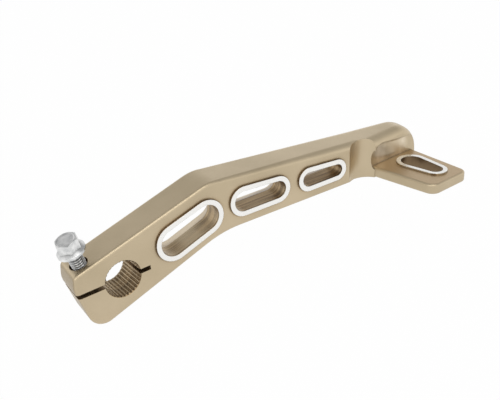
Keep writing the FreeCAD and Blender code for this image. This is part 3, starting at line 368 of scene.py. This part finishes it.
def finish_metal(nodes, metallic, colour, roughness, bump):
    """The end of a metal's node tree."""
    shader = nodes.add("BsdfPrincipled", Metallic=metallic)
    nodes.link(colour, shader.inputs["Base Color"])
    nodes.link(roughness, shader.inputs["Roughness"])
    nodes.link(bump.outputs[0], shader.inputs["Normal"])
    finish_material(nodes, shader)


def casting_material():
    """Satin bronze coating with a fine grain; the rims' faces are machined bare and very light."""
    material, nodes = new_material("lever_bronze", Casting)
    bare = nodes.bare_rims()
    colour = nodes.blend(bare, nodes.coating(), BARE_METAL)
    grain = nodes.noise(nodes.place, *GRAIN)
    rough_coating = nodes.remap(grain, *COATING_ROUGH)
    rough_bare = nodes.remap(nodes.noise(nodes.place, *TOOL_MARKS), *BARE_ROUGH)
    roughness = nodes.maths("ADD", nodes.every(rough_coating, nodes.maths("SUBTRACT", 1.0, bare)),
                            nodes.every(rough_bare, bare))
    bump = nodes.add("Bump", **COATING_BUMP)
    nodes.link(grain, bump.inputs["Height"])
    soft_edges = nodes.add("Bevel", samples=EDGE_SAMPLES, Radius=EDGE_ROUNDING)
    nodes.link(soft_edges.outputs[0], bump.inputs["Normal"])
    finish_metal(nodes, CASTING_METALLIC, colour, roughness, bump)
    return material


def bolt_material():
    """Bright zinc plating in cloudy patches, with painted shade on top and darker painted shade in the thread
    and creases.
    """
    material, nodes = new_material("bolt_zinc")
    place = nodes.add("TexCoord").outputs["Object"]
    cloud = nodes.noise(place, *ZINC_CLOUD)
    colour = nodes.blend(nodes.remap(cloud, *ZINC_RAMP), *ZINC)
    # painted shade on the faces that look up the bolt's axis
    up = nodes.add("VectorMath", operation="DOT_PRODUCT")
    nodes.link(nodes.add("NewGeometry").outputs["True Normal"], up.inputs[0])
    up.inputs[1].default_value = (-math.sin(HUB_RISE), 0, math.cos(HUB_RISE))
    colour = nodes.blend(nodes.remap(up.outputs["Value"], *ZINC_TOP_RAMP), colour, ZINC_TOP_SHADE)
    # painted shade in the thread and the creases of the bolt
    colour = nodes.blend(nodes.remap(nodes.closeness(GROOVE_REACH), *GROOVE_RAMP), colour, ZINC_GROOVE_SHADE)
    bump = nodes.add("Bump", **ZINC_BUMP)
    nodes.link(nodes.noise(place, *ZINC_GRAIN), bump.inputs["Height"])
    finish_metal(nodes, ZINC_METALLIC, colour, nodes.remap(cloud, *ZINC_ROUGH), bump)
    return material


def hexagon_radius(angle):
    """The head's radius in a direction, with flats all round."""
    side = math.pi / 3
    off_middle = (angle - HEAD_TURN) % side - side / 2
    return HEAD_FLATS / 2 / math.cos(off_middle)


def fade(value):
    """A value held between 0 and 1."""
    return min(max(value, 0), 1)


def thread_radius(angle, height):
    """The thread, as a flattened triangle wave that climbs one pitch a turn and fades at both ends."""
    phase = (height / THREAD_PITCH - angle / (2 * math.pi)) % 1.0
    flank = 1 - abs(2 * phase - 1)
    rise = fade((flank - ROOT_FLAT) / FLANK_SHARE)
    from_end = fade((height + BOLT_LENGTH) / THREAD_FADE)
    to_stop = fade((-THREAD_STOP - height) / THREAD_FADE)
    depth = THREAD_DEPTH * (1 - rise) * to_stop
    return min(THREAD_CREST - depth, THREAD_CREST - THREAD_DEPTH + from_end * THREAD_DEPTH)


def bolt_rings(angles):
    """Rings from the bolt's end to its head, each a list of radius and height for every direction."""
    def even(radius, height):
        return [(radius, height)] * len(angles)

    steps = round(BOLT_LENGTH / THREAD_PITCH * RINGS_PER_PITCH)
    heights = [-BOLT_LENGTH + BOLT_LENGTH * i / steps for i in range(steps + 1)]
    rings = [even(THREAD_CREST - END_INSET, -BOLT_LENGTH)]
    rings += [[(thread_radius(a, h), h) for a in angles] for h in heights]
    rings += [even(THREAD_CREST + NECK_STEP, 0)]
    rings += [even(FLANGE_RADIUS - FLANGE_SOFT, 0), even(FLANGE_RADIUS, FLANGE_SOFT)]
    rings += [even(FLANGE_RADIUS, FLANGE_THICK - FLANGE_SOFT)]
    rings += [even(FLANGE_RADIUS - FLANGE_SOFT, FLANGE_THICK)]
    slope = FLANGE_DOME / (FLANGE_RADIUS - HEAD_FLATS / 2)
    foot, shoulder = [], []
    for angle in angles:
        radius = hexagon_radius(angle)
        foot.append((radius, FLANGE_THICK + (FLANGE_RADIUS - radius) * slope))
        shoulder.append((radius, HEAD_HEIGHT - (radius - BEVEL_START) * math.tan(BEVEL)))
    rings += [foot, shoulder, even(BEVEL_START, HEAD_HEIGHT), even(BEVEL_START - DISH_EDGE, HEAD_HEIGHT)]
    rings += [even(BEVEL_START - DISH_FOOT, HEAD_HEIGHT - DISH_DEPTH)]
    return rings


def make_bolt():
    """The flanged hexagon bolt with its cut thread, in place of the frame's plain one."""
    count = BOLT_SIDES
    angles = [HEAD_TURN + 2 * math.pi * i / count for i in range(count)]
    rings = bolt_rings(angles)
    points = [(r * math.cos(a) * MM, r * math.sin(a) * MM, h * MM)
              for ring in rings for a, (r, h) in zip(angles, ring)]
    faces = []
    for k in range(len(rings) - 1):
        for i in range(count):
            j = (i + 1) % count
            faces.append((k * count + i, k * count + j, (k + 1) * count + j, (k + 1) * count + i))
    low, high = len(points), len(points) + 1
    points += [(0, 0, -BOLT_LENGTH * MM), (0, 0, (HEAD_HEIGHT - DISH_DEPTH) * MM)]
    last = (len(rings) - 1) * count
    for i in range(count):
        j = (i + 1) % count
        faces.append((low, j, i))
        faces.append((high, last + i, last + j))
    mesh = bpy.data.meshes.new("clamp_bolt_threaded")
    mesh.from_pydata(points, [], faces)
    turn = Matrix.Rotation(-HUB_RISE, 4, "Y")
    seat = turn @ Vector((-BOLT_GAP * MM, 0, BOLT_SEAT * MM)) + Vector((0, BOLT_DEPTH * MM, 0))
    mesh.transform(Matrix.Translation(seat) @ turn)
    mesh.shade_smooth()
    mesh.set_sharp_from_angle(angle=SHARP_ANGLE)
    bolt = bpy.data.objects.new("clamp_bolt_threaded", mesh)
    bpy.context.scene.collection.objects.link(bolt)
    mesh.materials.append(bolt_material())
    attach(bolt, "root")
    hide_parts("clamp_bolt")


def dress_lever():
    """The lever keeps the mesh that the frame holds, and gets its material here."""
    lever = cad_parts["lever"]
    lever.data.materials.clear()
    lever.data.materials.append(casting_material())


def sight(nodes):
    """Two shares: 1 where the camera looks, straight or through clear glass, and 1 where a mirror does."""
    path = nodes.add("LightPath")
    seen = nodes.maths("MAXIMUM", path.outputs["Is Camera Ray"], path.outputs["Is Transmission Ray"])
    return seen, path.outputs["Is Glossy Ray"]


def make_floor():
    """A plain pale floor under the lever that keeps a faint shadow."""
    mesh = bpy.data.meshes.new("floor")
    reach, level = FLOOR_REACH, cad_box[0].z
    corners = [(-reach, -reach, level), (reach, -reach, level), (reach, reach, level), (-reach, reach, level)]
    mesh.from_pydata(corners, [], [(0, 1, 2, 3)])
    floor = bpy.data.objects.new("floor", mesh)
    bpy.context.scene.collection.objects.link(floor)
    material, nodes = new_material("floor_white")
    seen, mirrored = sight(nodes)
    matt = nodes.add("BsdfDiffuse", Color=(FLOOR_GREY, FLOOR_GREY, FLOOR_GREY, 1))
    glow = nodes.add("Emission", Color=(1, 1, 1, 1), Strength=1.0)
    mix = nodes.add("MixShader")
    share = nodes.maths("MAXIMUM", nodes.every(seen, FLOOR_SEEN), nodes.every(mirrored, FLOOR_MIRRORED))
    nodes.link(share, mix.inputs["Fac"])
    nodes.link(matt.outputs[0], mix.inputs[1])
    nodes.link(glow.outputs[0], mix.inputs[2])
    finish_material(nodes, mix)
    mesh.materials.append(material)


def make_world():
    """White behind the object, and a studio that is brighter low down and dimmer overhead."""
    world = bpy.data.worlds.new("studio")
    bpy.context.scene.world = world
    world.use_nodes = True
    nodes = Nodes(world.node_tree)
    seen, _ = sight(nodes)
    height = nodes.split(nodes.add("TexCoord").outputs["Generated"])[2]
    room = nodes.add("Background", Color=(1, 1, 1, 1))
    nodes.link(nodes.remap(height, *STUDIO_RAMP), room.inputs["Strength"])
    white = nodes.add("Background", Color=(1, 1, 1, 1), Strength=1.0)
    mix = nodes.add("MixShader")
    nodes.link(seen, mix.inputs["Fac"])
    nodes.link(room.outputs[0], mix.inputs[1])
    nodes.link(white.outputs[0], mix.inputs[2])
    output = nodes.add("OutputWorld")
    nodes.link(mix.outputs[0], output.inputs["Surface"])


def softbox(name, direction, distance, width, power):
    """A square lamp that faces the middle of the lever."""
    middle = (cad_box[0] + cad_box[1]) / 2
    lamp = bpy.data.objects.new(name, bpy.data.lights.new(name, "AREA"))
    bpy.context.scene.collection.objects.link(lamp)
    lamp.data.size = width
    lamp.data.energy = power
    away = Vector(direction).normalized()
    lamp.location = middle + away * distance
    lamp.rotation_euler = away.to_track_quat("Z", "Y").to_euler()


bpy.context.scene.view_settings.view_transform = "Standard"
make_camera()
make_world()
make_floor()
for name, lamp in LAMPS.items():
    softbox(name, *lamp)
dress_lever()
make_bolt()
